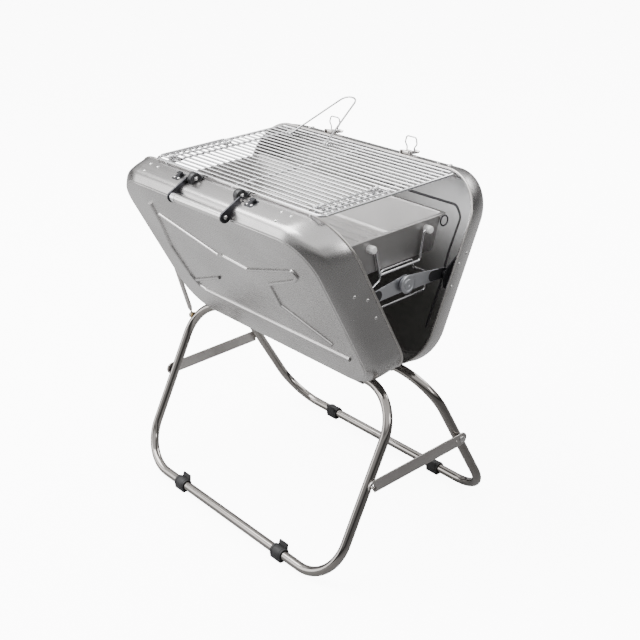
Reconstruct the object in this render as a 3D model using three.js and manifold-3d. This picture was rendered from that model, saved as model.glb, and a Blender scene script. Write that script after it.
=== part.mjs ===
// Folding camp grill: two pressed steel shells hinged along their bottom edge stand open in a V on two
// folding tube legs. A charcoal tray hangs between them and a wire cooking grate lies across the top.
// Millimetres, +X along the case, +Y to the rear, +Z up. The origin is on the ground, under the hinge.
import * as THREE from "three";
import { mergeVertices } from "three/addons/utils/BufferGeometryUtils.js";
import Module from "manifold-3d";

const wasm = await Module();
wasm.setup();

// ---- driving dimensions ----
const TILT = 26 * Math.PI / 180;          // each shell leans this far out from upright
const HINGE_Z = 253.6;                    // height of the case hinge above the ground
const GAP = 0.3;                          // clearance between touching pieces
const SHEET = 1.5;                        // thickness of the shells
const RIM_D = 0.6;                        // the rims stop this far short of the closing plane
const RIDGE_D = 36;                       // depth of the shell's side walls
const FACE_D = 48;                        // depth of the shell's face, past the chamfer
const RIM_HALF = 215;                     // half-width of the shell at its rim
const RIDGE_HALF = 204.5;                  // half-width at the ridge
const RIM_LOW = 4.2;                      // bottom edge of the rim above the hinge
const RIM_HIGH = 263;                     // top edge of the rim above the hinge
const RIDGE_LOW = 8;                      // bottom of the ridge
const RIDGE_HIGH = 270;                   // top of the ridge
const CHAMFER = 9;                        // how far the chamfer comes in from ridge to face
const RIM_R = 60;                         // corner radius of the rim
const RIDGE_R = 57;
const FACE_R = 50;

const TUBE_R = 6.5;                       // leg tube
const LEG_HALF = 213.5;                   // half-width of the leg loop, centre to centre
const LEG_R = 60;                         // corner radius of the leg loop
const PIVOT_S = -0.8;                     // leg pivot, in shell coordinates
const PIVOT_D = 29;
const FOOT_Y = 150.7;                     // foot bar's distance from the middle
const FOOT_Z = 10;                        // foot bar's height
const MIDDLE_Y = 6.594;                   // puts the origin in the middle of the open grill
const FOOT_X = 112.3;                     // rubber foot's distance from the middle

const BRACE_X = 221;                      // inner face of the braces
const BRACE_T = 2;
const BRACE_W = 18;
const BRACE_Z = 135;                      // height of both ends of a brace

const STAY_S = 137;                       // elbow stay pivots, in shell coordinates
const STAY_D = 5.4;
const STAY_RISE = 4.3 * Math.PI / 180;     // the stay's arms rise this much towards their hub
const STAY_X = 193;                       // inner face of the stay's first arm
const STAY_T = 2;

const TRAY_TOP = 447;
const TRAY_LOW = 401;
const TRAY_HALF_X = 183;
const TRAY_HALF_Y = 79;
const TRAY_LOW_Y = 62;

const GRATE_Z = 492.3;                    // plane of the grate's rods
const GRATE_X0 = -148;                    // the grate lies off centre, to the right and to the front
const GRATE_X1 = 184;
const GRATE_Y0 = -120;
const GRATE_Y1 = 98;
const ROD_R = 1.5;
const FRAME_R = 2;
const ROD_COUNT = 23;

const LATCH_X = 75;                       // latches and keepers
const CARRY_X = 47;                       // carry handle caps

// ---- materials ----
const material = (color, roughness, metalness) =>
  new THREE.MeshStandardMaterial({ color, roughness, metalness });
const BRUSHED = material(0xb4b0ad, 0.42, 0.9);
const POLISHED = material(0xa8a5a2, 0.25, 1.0);
const WIRE = material(0xc9c9cb, 0.2, 1.0);
const BRIGHT = material(0xd2d3d5, 0.3, 0.9);
const GUNMETAL = material(0x4a4a4f, 0.45, 0.8);
const RUBBER = material(0x161616, 0.85, 0.0);
const BLACK = material(0x1c1b1b, 0.5, 0.2);
const BRASS = material(0x6d5a35, 0.4, 0.8);

// ---- solids ----
const toSolid = (geometry) => {
  const plain = geometry.index ? geometry.toNonIndexed() : geometry.clone();
  plain.deleteAttribute("normal");
  plain.deleteAttribute("uv");
  const merged = mergeVertices(plain, 1e-4);
  return new wasm.Manifold(new wasm.Mesh({
    numProp: 3,
    vertProperties: new Float32Array(merged.attributes.position.array),
    triVerts: new Uint32Array(merged.index.array),
  }));
};

const toGeometry = (solid) => {
  const mesh = solid.getMesh();
  const geometry = new THREE.BufferGeometry();
  geometry.setAttribute("position", new THREE.BufferAttribute(mesh.vertProperties, 3));
  geometry.setIndex(new THREE.BufferAttribute(mesh.triVerts, 1));
  geometry.computeVertexNormals();
  return geometry;
};

const join = (...geometries) => toGeometry(geometries.map(toSolid).reduce((a, b) => a.add(b)));
const cut = (geometry, ...tools) =>
  toGeometry(tools.map(toSolid).reduce((a, b) => a.subtract(b), toSolid(geometry)));

const box = (x0, y0, z0, x1, y1, z1) =>
  new THREE.BoxGeometry(x1 - x0, y1 - y0, z1 - z0).translate((x0 + x1) / 2, (y0 + y1) / 2, (z0 + z1) / 2);

// A cylinder along X from x0 to x1, centred on (y, z).
const rodX = (x0, x1, y, z, radius, sides = 12) =>
  new THREE.CylinderGeometry(radius, radius, Math.abs(x1 - x0), sides)
    .rotateZ(Math.PI / 2).translate((x0 + x1) / 2, y, z);
const rodY = (x, y0, y1, z, radius, sides = 12) =>
  new THREE.CylinderGeometry(radius, radius, Math.abs(y1 - y0), sides).translate(x, (y0 + y1) / 2, z);

// A ring along X.
const ringX = (x0, x1, y, z, outer, inner, sides = 16) => {
  const half = Math.abs(x1 - x0) / 2;
  const profile = [[inner, -half], [outer, -half], [outer, half], [inner, half], [inner, -half]];
  return new THREE.LatheGeometry(profile.map(([r, h]) => new THREE.Vector2(r, h)), sides)
    .rotateZ(Math.PI / 2).translate((x0 + x1) / 2, y, z);
};

// A flat outline in the YZ plane, given as a THREE.Shape of (y, z), extruded from x0 to x1.
const plateX = (shape, x0, x1, steps = 6) =>
  new THREE.ExtrudeGeometry(shape, { depth: x1 - x0, bevelEnabled: false, curveSegments: steps })
    .applyMatrix4(new THREE.Matrix4().set(0, 0, 1, x0, 1, 0, 0, 0, 0, 1, 0, 0, 0, 0, 0, 1));

const v3 = (x, y, z) => new THREE.Vector3(x, y, z);

// Points along a path of straight runs with a circular bend at each corner.
const bendPoints = (before, here, after, radius, steps) => {
  const back = before.clone().sub(here).normalize();
  const ahead = after.clone().sub(here).normalize();
  const half = back.angleTo(ahead) / 2;
  const turn = Math.PI - 2 * half;
  const reach = radius / Math.tan(half);
  const middle = back.clone().add(ahead).normalize();
  const centre = here.clone().addScaledVector(middle, radius / Math.sin(half));
  const from = here.clone().addScaledVector(back, reach).sub(centre);
  const to = here.clone().addScaledVector(ahead, reach).sub(centre);
  return Array.from({ length: steps + 1 }, (_, i) => {
    const a = turn * i / steps;
    return centre.clone()
      .addScaledVector(from, Math.sin(turn - a) / Math.sin(turn))
      .addScaledVector(to, Math.sin(a) / Math.sin(turn));
  });
};

const pathPoints = (corners, radius, closed, steps) => {
  const count = corners.length;
  return corners.flatMap((here, i) => {
    if (!closed && (i === 0 || i === count - 1)) return [here];
    return bendPoints(corners[(i + count - 1) % count], here, corners[(i + 1) % count], radius, steps);
  });
};

// A round wire or tube swept along points, with mitred rings, closed on itself or capped at its ends.
const sweep = (points, radius, sides, closed) => {
  const count = points.length;
  const positions = [];
  const index = [];
  const tangents = points.map((p, i) => {
    const before = points[closed ? (i + count - 1) % count : Math.max(i - 1, 0)];
    const after = points[closed ? (i + 1) % count : Math.min(i + 1, count - 1)];
    return after.clone().sub(before).normalize();
  });
  let normal = Math.abs(tangents[0].x) < 0.9 ? v3(1, 0, 0) : v3(0, 1, 0);
  points.forEach((p, i) => {
    normal = normal.clone().addScaledVector(tangents[i], -normal.dot(tangents[i])).normalize();
    const side = tangents[i].clone().cross(normal);
    for (let k = 0; k < sides; k += 1) {
      const a = 2 * Math.PI * k / sides;
      const q = p.clone().addScaledVector(normal, radius * Math.cos(a)).addScaledVector(side, radius * Math.sin(a));
      positions.push(q.x, q.y, q.z);
    }
  });
  const rings = closed ? count : count - 1;
  for (let i = 0; i < rings; i += 1) {
    const j = (i + 1) % count;
    for (let k = 0; k < sides; k += 1) {
      const m = (k + 1) % sides;
      index.push(i * sides + k, i * sides + m, j * sides + m, i * sides + k, j * sides + m, j * sides + k);
    }
  }
  if (!closed) {
    for (let k = 1; k < sides - 1; k += 1) {
      index.push(0, k + 1, k);
      const last = (count - 1) * sides;
      index.push(last, last + k, last + k + 1);
    }
  }
  const geometry = new THREE.BufferGeometry();
  geometry.setAttribute("position", new THREE.Float32BufferAttribute(positions, 3));
  geometry.setIndex(index);
  return geometry;
};

const wire = (corners, bend, radius, sides = 8, closed = false, steps = 4) =>
  sweep(pathPoints(corners, bend, closed, steps), radius, sides, closed);

// ---- scene graph ----
const group = new THREE.Group();
const front = new THREE.Group();          // in these two, Y is the shell's depth and Z runs up the shell
const rear = new THREE.Group();
front.position.set(0, 0, HINGE_Z);
front.rotation.set(TILT, 0, 0);
rear.position.set(0, 0, HINGE_Z);
rear.rotation.set(-TILT, 0, 0);
group.add(front, rear);

const place = (parent, name, geometry, look) => {
  const mesh = new THREE.Mesh(geometry, look);
  mesh.name = name;
  parent.add(mesh);
};

// Turns a piece of the front half into the matching piece of the rear half: half a turn about Z.
const turned = (geometry) => geometry.clone().rotateZ(Math.PI);
const mirroredX = (geometry) => {
  const copy = geometry.index ? geometry.toNonIndexed() : geometry.clone();
  const p = copy.attributes.position;
  for (let i = 0; i < p.count; i += 3) {
    const a = [-p.getX(i), p.getY(i), p.getZ(i)];
    const b = [-p.getX(i + 1), p.getY(i + 1), p.getZ(i + 1)];
    const c = [-p.getX(i + 2), p.getY(i + 2), p.getZ(i + 2)];
    p.setXYZ(i, ...a);
    p.setXYZ(i + 1, ...c);
    p.setXYZ(i + 2, ...b);
  }
  return mergeVertices(copy.deleteAttribute("normal"), 1e-4);
};

// Shell coordinates (s up the shell, d outward) to world Y and Z, for the front (-1) or rear (+1) shell.
const shellPoint = (side, s, d) => [
  side * (s * Math.sin(TILT) + d * Math.cos(TILT)),
  HINGE_Z + s * Math.cos(TILT) - d * Math.sin(TILT),
];

// ---- shells: rounded rectangles lofted from rim to ridge to face ----
const ring = (half, low, high, radius, depth) => {
  const points = [];
  const steps = 7;
  const corners = [
    [half - radius, high - radius, 0],
    [-half + radius, high - radius, 1],
    [-half + radius, low + radius, 2],
    [half - radius, low + radius, 3],
  ];
  corners.forEach(([x, z, quarter]) => {
    for (let i = 0; i <= steps; i += 1) {
      const a = (quarter + i / steps) * Math.PI / 2;
      points.push([x + radius * Math.cos(a), depth, z + radius * Math.sin(a)]);
    }
  });
  return points;
};

const loft = (rings) => {
  const count = rings[0].length;
  const positions = rings.flat(2);
  const index = [];
  for (let i = 0; i < rings.length - 1; i += 1) {
    for (let k = 0; k < count; k += 1) {
      const a = i * count + k;
      const b = i * count + (k + 1) % count;
      index.push(a, a + count, b + count, a, b + count, b);
    }
  }
  const last = (rings.length - 1) * count;
  for (let k = 1; k < count - 1; k += 1) {
    index.push(0, k, k + 1);
    index.push(last, last + k + 1, last + k);
  }
  const geometry = new THREE.BufferGeometry();
  geometry.setAttribute("position", new THREE.Float32BufferAttribute(positions, 3));
  geometry.setIndex(index);
  return geometry;
};

const shellRings = (inset, start) => {
  const lean = (value, target) => value + (target - value) * (start - RIM_D) / (RIDGE_D - RIM_D);
  const back = FACE_D - inset;
  return [
    ring(lean(RIM_HALF, RIDGE_HALF) - inset, lean(RIM_LOW, RIDGE_LOW) + inset,
      lean(RIM_HIGH, RIDGE_HIGH) - inset, RIM_R - inset, start),
    ring(RIDGE_HALF - inset, RIDGE_LOW + inset, RIDGE_HIGH - inset, RIDGE_R - inset, RIDGE_D - inset / 3),
    ring(RIDGE_HALF - CHAMFER - inset / 2, RIDGE_LOW + CHAMFER + inset / 2,
      RIDGE_HIGH - CHAMFER - inset / 2, FACE_R, back),
  ];
};

// The rear shell points its depth along +Y; the front shell is the same solid turned round.
const shell = cut(loft(shellRings(0, RIM_D)), loft(shellRings(SHEET, RIM_D - 1)));

// A stud on the front shell's left end wall carries the strut.
const STRUT_X = 216.8;
const STRUT_TOP_S = 152;
const STRUT_TOP_D = 18;
const wallHalf = (d) => RIM_HALF - (RIM_HALF - RIDGE_HALF) * (d - RIM_D) / (RIDGE_D - RIM_D);
const strutStud = rodX(-wallHalf(STRUT_TOP_D) + 1, -STRUT_X - 2.6, -STRUT_TOP_D, STRUT_TOP_S, 2.2, 16);
place(front, "front_shell", join(turned(shell), strutStud), BRUSHED);
place(rear, "rear_shell", shell, BRUSHED);

// ---- case hinges ----
const HINGE_X = 110;
const KNUCKLE_R = 3;
const PIN_R = 1.25;
const LEAF_T = 1.2;
const LEAF_HALF = 24;
const SEGMENT = 16;                       // each hinge has three knuckles of this length
const wallLow = (d) => RIM_LOW + (RIDGE_LOW - RIM_LOW) * (d - RIM_D) / (RIDGE_D - RIM_D);
const knuckle = (x0, x1) => join(
  ringX(x0 + GAP, x1 - GAP, 0, 0, KNUCKLE_R, PIN_R + 0.4),
  box(x0 + GAP, 0.6, 1.9, x1 - GAP, 5, wallLow(RIM_D) - GAP),
);
const leafPlate = (() => {
  const shape = new THREE.Shape();
  shape.moveTo(4.2, wallLow(4.2) - GAP - LEAF_T);
  shape.lineTo(20, wallLow(20) - GAP - LEAF_T);
  shape.lineTo(20, wallLow(20) - GAP);
  shape.lineTo(4.2, wallLow(4.2) - GAP);
  return plateX(shape, -LEAF_HALF, LEAF_HALF);
})();
const outerLeaf = join(leafPlate, knuckle(-LEAF_HALF, -SEGMENT / 2), knuckle(SEGMENT / 2, LEAF_HALF));
const middleLeaf = join(leafPlate, knuckle(-SEGMENT / 2, SEGMENT / 2));
for (const [side, x] of [["left", -HINGE_X], ["right", HINGE_X]]) {
  place(front, `hinge_leaf_front_${side}`, turned(outerLeaf).translate(x, 0, 0), BRUSHED);
  place(rear, `hinge_leaf_rear_${side}`, middleLeaf.clone().translate(x, 0, 0), BRUSHED);
  place(group, `hinge_pin_${side}`, rodX(x - 25, x + 25, 0, HINGE_Z, PIN_R, 12), POLISHED);
}

// ---- legs: closed tube loops hung from saddle clips under the shells ----
const [pivotY, pivotZ] = shellPoint(1, PIVOT_S, PIVOT_D);
const legLength = Math.hypot(FOOT_Y - pivotY, pivotZ - FOOT_Z);
const legSin = (FOOT_Y - pivotY) / legLength;
const legCos = (pivotZ - FOOT_Z) / legLength;
const braceDown = (pivotZ - BRACE_Z) / legCos;          // along the leg from its pivot to the brace
const braceY = pivotY + braceDown * legSin;

// Leg coordinates (x, t down the leg from its pivot) to world, for the rear leg.
const legPoint = (x, t) => v3(x, pivotY + t * legSin, pivotZ - t * legCos);
const legLoop = wire([
  legPoint(-LEG_HALF, 0), legPoint(LEG_HALF, 0), legPoint(LEG_HALF, legLength), legPoint(-LEG_HALF, legLength),
], LEG_R, TUBE_R, 16, true, 8);
// The peg that the other leg's brace hooks over.
const pegY = braceY;
const peg = rodX(-LEG_HALF - TUBE_R + 1, -BRACE_X - BRACE_T - 1.6, pegY, BRACE_Z, 2, 12);
const rearLeg = join(legLoop, peg);
place(group, "rear_leg", rearLeg, POLISHED);
place(group, "front_leg", turned(rearLeg), POLISHED);

// Saddle clips, in shell coordinates: a strap under the top bar with a flange each side.
const CLIP_X = 142;
const CLIP_W = 14;
const strapIn = TUBE_R + 0.5;
const strapOut = strapIn + 1.4;
const saddle = () => {
  const shape = new THREE.Shape();
  const top = wallLow(PIVOT_D - strapOut - 7) - GAP - 0.2;
  const flange = top - 1.4;
  shape.moveTo(PIVOT_D - strapOut - 7, top);
  shape.lineTo(PIVOT_D - strapOut - 7, flange);
  shape.lineTo(PIVOT_D - strapOut, flange);
  shape.absarc(PIVOT_D, PIVOT_S, strapOut, Math.PI, 2 * Math.PI, false);
  shape.lineTo(PIVOT_D + strapOut, top);
  shape.lineTo(PIVOT_D + strapIn, top);
  shape.absarc(PIVOT_D, PIVOT_S, strapIn, 2 * Math.PI, Math.PI, true);
  shape.lineTo(PIVOT_D - strapIn, top);
  return plateX(shape, -CLIP_W / 2, CLIP_W / 2, 8);
};
for (const [side, x] of [["left", -CLIP_X], ["right", CLIP_X]]) {
  place(front, `leg_clip_front_${side}`, turned(saddle().translate(-x, 0, 0)), GUNMETAL);
  place(rear, `leg_clip_rear_${side}`, saddle().translate(x, 0, 0), GUNMETAL);
}

// Rubber feet: a sleeve round the foot bar, flat underneath, with a fin on its inner side.
const footBlock = () => {
  const shape = new THREE.Shape();
  const half = 9.2;
  shape.moveTo(-half + 3, 0);
  shape.lineTo(half - 3, 0);
  shape.quadraticCurveTo(half, 0, half, 4);
  shape.lineTo(half, FOOT_Z);
  shape.absarc(0, FOOT_Z, half, 0, Math.PI, false);
  shape.lineTo(-half, 4);
  shape.quadraticCurveTo(-half, 0, -half + 3, 0);
  const bore = new THREE.Path();
  bore.absarc(0, FOOT_Z, TUBE_R + 0.25, 0, 2 * Math.PI, true);
  shape.holes.push(bore);
  const sleeve = plateX(shape, -12, 12, 8);
  const fin = box(-10, -9.2, FOOT_Z + 4, 10, -7.2, FOOT_Z + 13);
  return join(sleeve, fin);
};
for (const [side, x] of [["left", -FOOT_X], ["right", FOOT_X]]) {
  place(group, `foot_rear_${side}`, footBlock().translate(x, FOOT_Y, 0), RUBBER);
  place(group, `foot_front_${side}`, turned(footBlock()).translate(x, -FOOT_Y, 0), RUBBER);
}

// ---- braces: flat bars pivoted on one leg and hooked over a peg on the other ----
// The right brace, pivoted on the rear leg. Its hook lies open at the bottom, over the front leg's peg.
const brace = () => {
  const half = BRACE_W / 2;
  const shape = new THREE.Shape();
  const tip = -braceY - 7;
  shape.moveTo(braceY, BRACE_Z + half);
  shape.lineTo(-braceY + 4, BRACE_Z + half);
  shape.quadraticCurveTo(tip, BRACE_Z + half, tip, BRACE_Z);
  shape.lineTo(tip, BRACE_Z - 0.5);
  shape.lineTo(-braceY - 4.4, BRACE_Z - 0.5);
  shape.lineTo(-braceY - 4.4, BRACE_Z + 1);
  shape.absarc(-braceY - 0.9, BRACE_Z + 1, 3.5, Math.PI, 0, true);
  shape.lineTo(-braceY + 2.6, BRACE_Z - half);
  shape.lineTo(braceY, BRACE_Z - half);
  shape.absarc(braceY, BRACE_Z, half, -Math.PI / 2, Math.PI / 2, false);
  const hole = new THREE.Path();
  hole.absarc(braceY, BRACE_Z, 2.6, 0, 2 * Math.PI, true);
  shape.holes.push(hole);
  return plateX(shape, BRACE_X, BRACE_X + BRACE_T, 8);
};
place(group, "brace_right", brace(), BRUSHED);
place(group, "brace_left", turned(brace()), BRUSHED);

// Shouldered studs that the braces turn on, with a low domed head outside.
const bracePivot = () => {
  const profile = [[0, 0], [4, 0], [4, 0.4], [2.2, 0.4], [2.2, 3.4], [6, 3.4], [5, 5.2], [2.5, 6.2], [0, 6.5]];
  return new THREE.LatheGeometry(profile.map(([r, h]) => new THREE.Vector2(r, h)), 16)
    .rotateZ(-Math.PI / 2).translate(LEG_HALF + TUBE_R + GAP, braceY, BRACE_Z);
};
place(group, "brace_pivot_right", bracePivot(), BLACK);
place(group, "brace_pivot_left", turned(bracePivot()), BLACK);

// ---- strut: a rod sliding in a tube, between the front shell's left end and the front leg ----
const STRUT_ARM = 31;                     // strut's bolt, down the leg from its pivot
const [topY, topZ] = shellPoint(-1, STRUT_TOP_S, STRUT_TOP_D);
const footY = -pivotY - STRUT_ARM * legSin;
const footZ = pivotZ - STRUT_ARM * legCos;
const strutLength = Math.hypot(footY - topY, topZ - footZ);
const strutTilt = Math.atan2(footY - topY, topZ - footZ);
// Built upright along Z with its foot at the origin, then tilted into place.
const tiltStrut = (geometry) => geometry.rotateX(strutTilt).translate(-STRUT_X, footY, footZ);
const lathe = (profile, sides) => new THREE.LatheGeometry(profile.map(([r, h]) => new THREE.Vector2(r, h)), sides);
const upright = (profile, sides = 14) => lathe(profile, sides).rotateX(Math.PI / 2);
const SLEEVE_LOW = 15;
const SLEEVE_HIGH = 102;
const sleeve = cut(
  upright([[0, SLEEVE_LOW], [3.7, SLEEVE_LOW], [3.7, SLEEVE_HIGH], [0, SLEEVE_HIGH]]),
  upright([[0, SLEEVE_LOW + 6], [2.6, SLEEVE_LOW + 6], [2.6, SLEEVE_HIGH + 1], [0, SLEEVE_HIGH + 1]]),
);
const strutTube = join(sleeve, box(-0.8, -3.4, 3, 0.8, 3.4, SLEEVE_LOW + 1), ringX(-0.8, 0.8, 0, 0, 4.6, 2.6));
const strutRod = join(
  upright([[0, 71], [2.1, 71], [2.1, strutLength - 3.4], [0, strutLength - 3.4]], 12),
  ringX(-0.8, 0.8, 0, strutLength, 4.8, 2.8),
);
place(group, "strut_tube", tiltStrut(strutTube), BRUSHED);
place(group, "strut_rod", tiltStrut(strutRod), POLISHED);
const boltProfile = [[0, -2.6], [2.1, -2.6], [2.1, 1.1], [4.6, 1.1], [4.6, 2.4], [3, 3.4], [0, 3.6]];
place(group, "strut_bolt", tiltStrut(lathe(boltProfile, 12).rotateZ(Math.PI / 2)), BRASS);

// ---- elbow stays: two arms and a hub at each end, between brackets inside the end walls ----
const [stayY, stayZ] = shellPoint(1, STAY_S, STAY_D);
const stayArm = stayY / Math.cos(STAY_RISE);
const hubZ = stayZ + stayY * Math.tan(STAY_RISE);
const ARM_W = 11;
// An arm outline from (y0, z0) to (y1, z1) with round ends, a pivot hole at its start and its end.
const armShape = (y0, z0, r0, y1, z1, r1, hole) => {
  const a = Math.atan2(z1 - z0, y1 - y0);
  const shape = new THREE.Shape();
  shape.absarc(y0, z0, r0, a + Math.PI / 2, a + 3 * Math.PI / 2, false);
  shape.absarc(y1, z1, r1, a - Math.PI / 2, a + Math.PI / 2, false);
  for (const [y, z] of [[y0, z0], [y1, z1]]) {
    const bore = new THREE.Path();
    bore.absarc(y, z, hole, 0, 2 * Math.PI, true);
    shape.holes.push(bore);
  }
  return shape;
};
const HUB_R = 12;
// The front arm carries the hub: a small washer inside, the pin, and a large disc outside the rear arm.
const armFar = STAY_X + 2 * STAY_T + 1;
const frontArm = () => join(
  plateX(armShape(-stayY, stayZ, ARM_W / 2, 0, hubZ, 9, 2.9), STAY_X, STAY_X + STAY_T, 8),
  rodX(STAY_X - 1, STAY_X + 1, 0, hubZ, 5, 16),
  rodX(STAY_X, armFar + 1.6, 0, hubZ, 3, 12),
  rodX(armFar + GAP, armFar + 1.6, 0, hubZ, HUB_R, 24),
);
const rearArm = () => join(
  plateX(armShape(stayY, stayZ, ARM_W / 2, 0, hubZ, 9, 3.4), STAY_X + STAY_T + 1, armFar, 8),
  rodX(STAY_X + STAY_T + 0.4, armFar + GAP, stayY, stayZ, 4, 16),
);
// Bracket: a plate on the end wall and a shouldered pin out to the arm, in shell coordinates.
// The front pin goes through its arm. The rear pin stops just short of the rear arm's rivet.
const stayBracket = (pinEnd) => {
  const shape = new THREE.Shape();
  shape.moveTo(STAY_D - 4.6, STAY_S - 6);
  shape.lineTo(STAY_D + 2, STAY_S - 18);
  shape.lineTo(STAY_D + 13, STAY_S - 18);
  shape.lineTo(STAY_D + 21, STAY_S + 38);
  shape.lineTo(STAY_D + 15, STAY_S + 38);
  shape.lineTo(STAY_D - 4.6, STAY_S + 7);
  const plate = plateX(shape, 203.8, 205.2);
  const pin = rodX(pinEnd, 204.5, STAY_D, STAY_S, 2.4, 12);
  return join(plate, pin, rodX(200.6, 204.5, STAY_D, STAY_S, 4.4, 16));
};
const frontPin = STAY_X - 1.4;
const rearPin = armFar + 2 * GAP;
const flipY = (geometry) => mirroredX(turned(geometry));
for (const [side, toSide] of [["right", (g) => g], ["left", mirroredX]]) {
  place(group, `stay_arm_front_${side}`, toSide(frontArm()), BRUSHED);
  place(group, `stay_arm_rear_${side}`, toSide(rearArm()), BRUSHED);
  place(front, `stay_bracket_front_${side}`, toSide(flipY(stayBracket(frontPin))), BLACK);
  place(rear, `stay_bracket_rear_${side}`, toSide(stayBracket(rearPin)), BLACK);
}

// ---- charcoal tray ----
const TRAY_T = 1.2;
const frustum = (halfLow, yLow, zLow, halfHigh, yHigh, zHigh) => {
  const at = (half, y, z) => [[half, y, z], [-half, y, z], [-half, -y, z], [half, -y, z]];
  const geometry = new THREE.BufferGeometry();
  geometry.setAttribute("position", new THREE.Float32BufferAttribute(
    [...at(halfLow, yLow, zLow), ...at(halfHigh, yHigh, zHigh)].flat(), 3,
  ));
  geometry.setIndex([
    0, 2, 1, 0, 3, 2, 4, 5, 6, 4, 6, 7,
    0, 1, 5, 0, 5, 4, 1, 2, 6, 1, 6, 5, 2, 3, 7, 2, 7, 6, 3, 0, 4, 3, 4, 7,
  ]);
  return geometry;
};
const BAIL_Z = 434;
const BAIL_HALF = 44;
const BAIL_R = 1.6;
const bossX = TRAY_HALF_X + 6;
const boss = (x, y) => join(
  new THREE.CylinderGeometry(5, 5, 5.5, 14).rotateZ(Math.PI / 2).translate(x, y, BAIL_Z),
);
const flange = box(-TRAY_HALF_X - 3, -TRAY_HALF_Y - 3, TRAY_TOP - 1.2, TRAY_HALF_X + 3, TRAY_HALF_Y + 3, TRAY_TOP);
const trayBody = cut(
  join(frustum(TRAY_HALF_X, TRAY_LOW_Y, TRAY_LOW, TRAY_HALF_X, TRAY_HALF_Y, TRAY_TOP), flange),
  frustum(TRAY_HALF_X - TRAY_T, TRAY_LOW_Y - TRAY_T + 0.4, TRAY_LOW + TRAY_T,
    TRAY_HALF_X - TRAY_T, TRAY_HALF_Y - TRAY_T + 0.4, TRAY_TOP + 1),
);
const bosses = [-1, 1].flatMap((sx) => [-1, 1].map((sy) => boss(sx * (TRAY_HALF_X + 2.5), sy * (BAIL_HALF + 4))));
const bossBores = [-1, 1].map((sx) =>
  rodY(sx * (TRAY_HALF_X + 3.4), -BAIL_HALF - 4, BAIL_HALF + 4, BAIL_Z, BAIL_R + 0.4, 10));
place(group, "tray", cut(join(trayBody, ...bosses), ...bossBores), BRIGHT);

// Drop handles on the tray's ends, hanging from the bosses.
const bailX = TRAY_HALF_X + 3.4;
const bail = () => wire([
  v3(bailX, -BAIL_HALF - 2, BAIL_Z), v3(bailX, -BAIL_HALF + 3, BAIL_Z), v3(bailX, -BAIL_HALF + 9, BAIL_Z - 37),
  v3(bailX, BAIL_HALF - 9, BAIL_Z - 37), v3(bailX, BAIL_HALF - 3, BAIL_Z), v3(bailX, BAIL_HALF + 2, BAIL_Z),
], 3, BAIL_R, 8, false, 3);
place(group, "tray_bail_right", bail(), WIRE);
place(group, "tray_bail_left", mirroredX(bail()), WIRE);

// Wire stands under the tray's ends: a hoop that widens below its shoulders.
const standX = TRAY_HALF_X - 2.2;
const stand = () => wire([
  v3(standX, 28, TRAY_LOW - GAP - 1.7), v3(standX, 28, 388), v3(standX, 50, 376), v3(standX, 50, 351),
  v3(standX, -50, 351), v3(standX, -50, 376), v3(standX, -28, 388), v3(standX, -28, TRAY_LOW - GAP - 1.7),
], 5, 1.7, 8, true, 3);
place(group, "tray_stand_right", stand(), WIRE);
place(group, "tray_stand_left", mirroredX(stand()), WIRE);

// ---- cooking grate ----
const EYE_Z = GRATE_Z + 3.6;              // height of the handles' eyes
const HANDLE_R = 1.3;
const HANDLE_X0 = -102;                   // grate handle's eyes
const HANDLE_X1 = -18;
const HANDLE_Y = 68.5;
const SIDE_Y0 = -116;                     // side handles' eyes
const SIDE_Y1 = -12;
const SIDE_LEFT = -125;
const SIDE_RIGHT = 163;
const SIDE_REACH = 18;
const crossbars = [SIDE_LEFT, 18, SIDE_RIGHT];
const grateRods = [];
const pitch = (GRATE_Y1 - GRATE_Y0) / (ROD_COUNT - 1);
for (let i = 1; i < ROD_COUNT - 1; i += 1) {
  grateRods.push(rodX(GRATE_X0, GRATE_X1, GRATE_Y0 + i * pitch, GRATE_Z, ROD_R, 6));
}
for (const x of crossbars) grateRods.push(rodY(x, GRATE_Y0, GRATE_Y1, GRATE_Z - 0.5, ROD_R, 6));
const grateFrame = wire([
  v3(GRATE_X0, GRATE_Y0, GRATE_Z), v3(GRATE_X1, GRATE_Y0, GRATE_Z),
  v3(GRATE_X1, GRATE_Y1, GRATE_Z), v3(GRATE_X0, GRATE_Y1, GRATE_Z),
], 8, FRAME_R, 8, true);
const eye = (length) => ringX(-length / 2, length / 2, 0, 0, 3.2, HANDLE_R + 0.4, 12);
const eyes = [
  ...[HANDLE_X0, HANDLE_X1].map((x) => eye(3.2).translate(x, HANDLE_Y, EYE_Z)),
  ...[SIDE_LEFT, SIDE_RIGHT].flatMap((x) =>
    [SIDE_Y0 + 10, SIDE_Y1 - 10].map((y) => eye(8).rotateZ(Math.PI / 2).translate(x, y, EYE_Z))),
];
const eyePosts = [
  box(HANDLE_X0 - 1.6, HANDLE_Y - 6, GRATE_Z - 0.8, HANDLE_X0 + 1.6, HANDLE_Y + 6, GRATE_Z + 0.8),
  box(HANDLE_X1 - 1.6, HANDLE_Y - 6, GRATE_Z - 0.8, HANDLE_X1 + 1.6, HANDLE_Y + 6, GRATE_Z + 0.8),
];
place(group, "grate", join(grateFrame, ...grateRods, ...eyePosts, ...eyes), WIRE);

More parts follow.
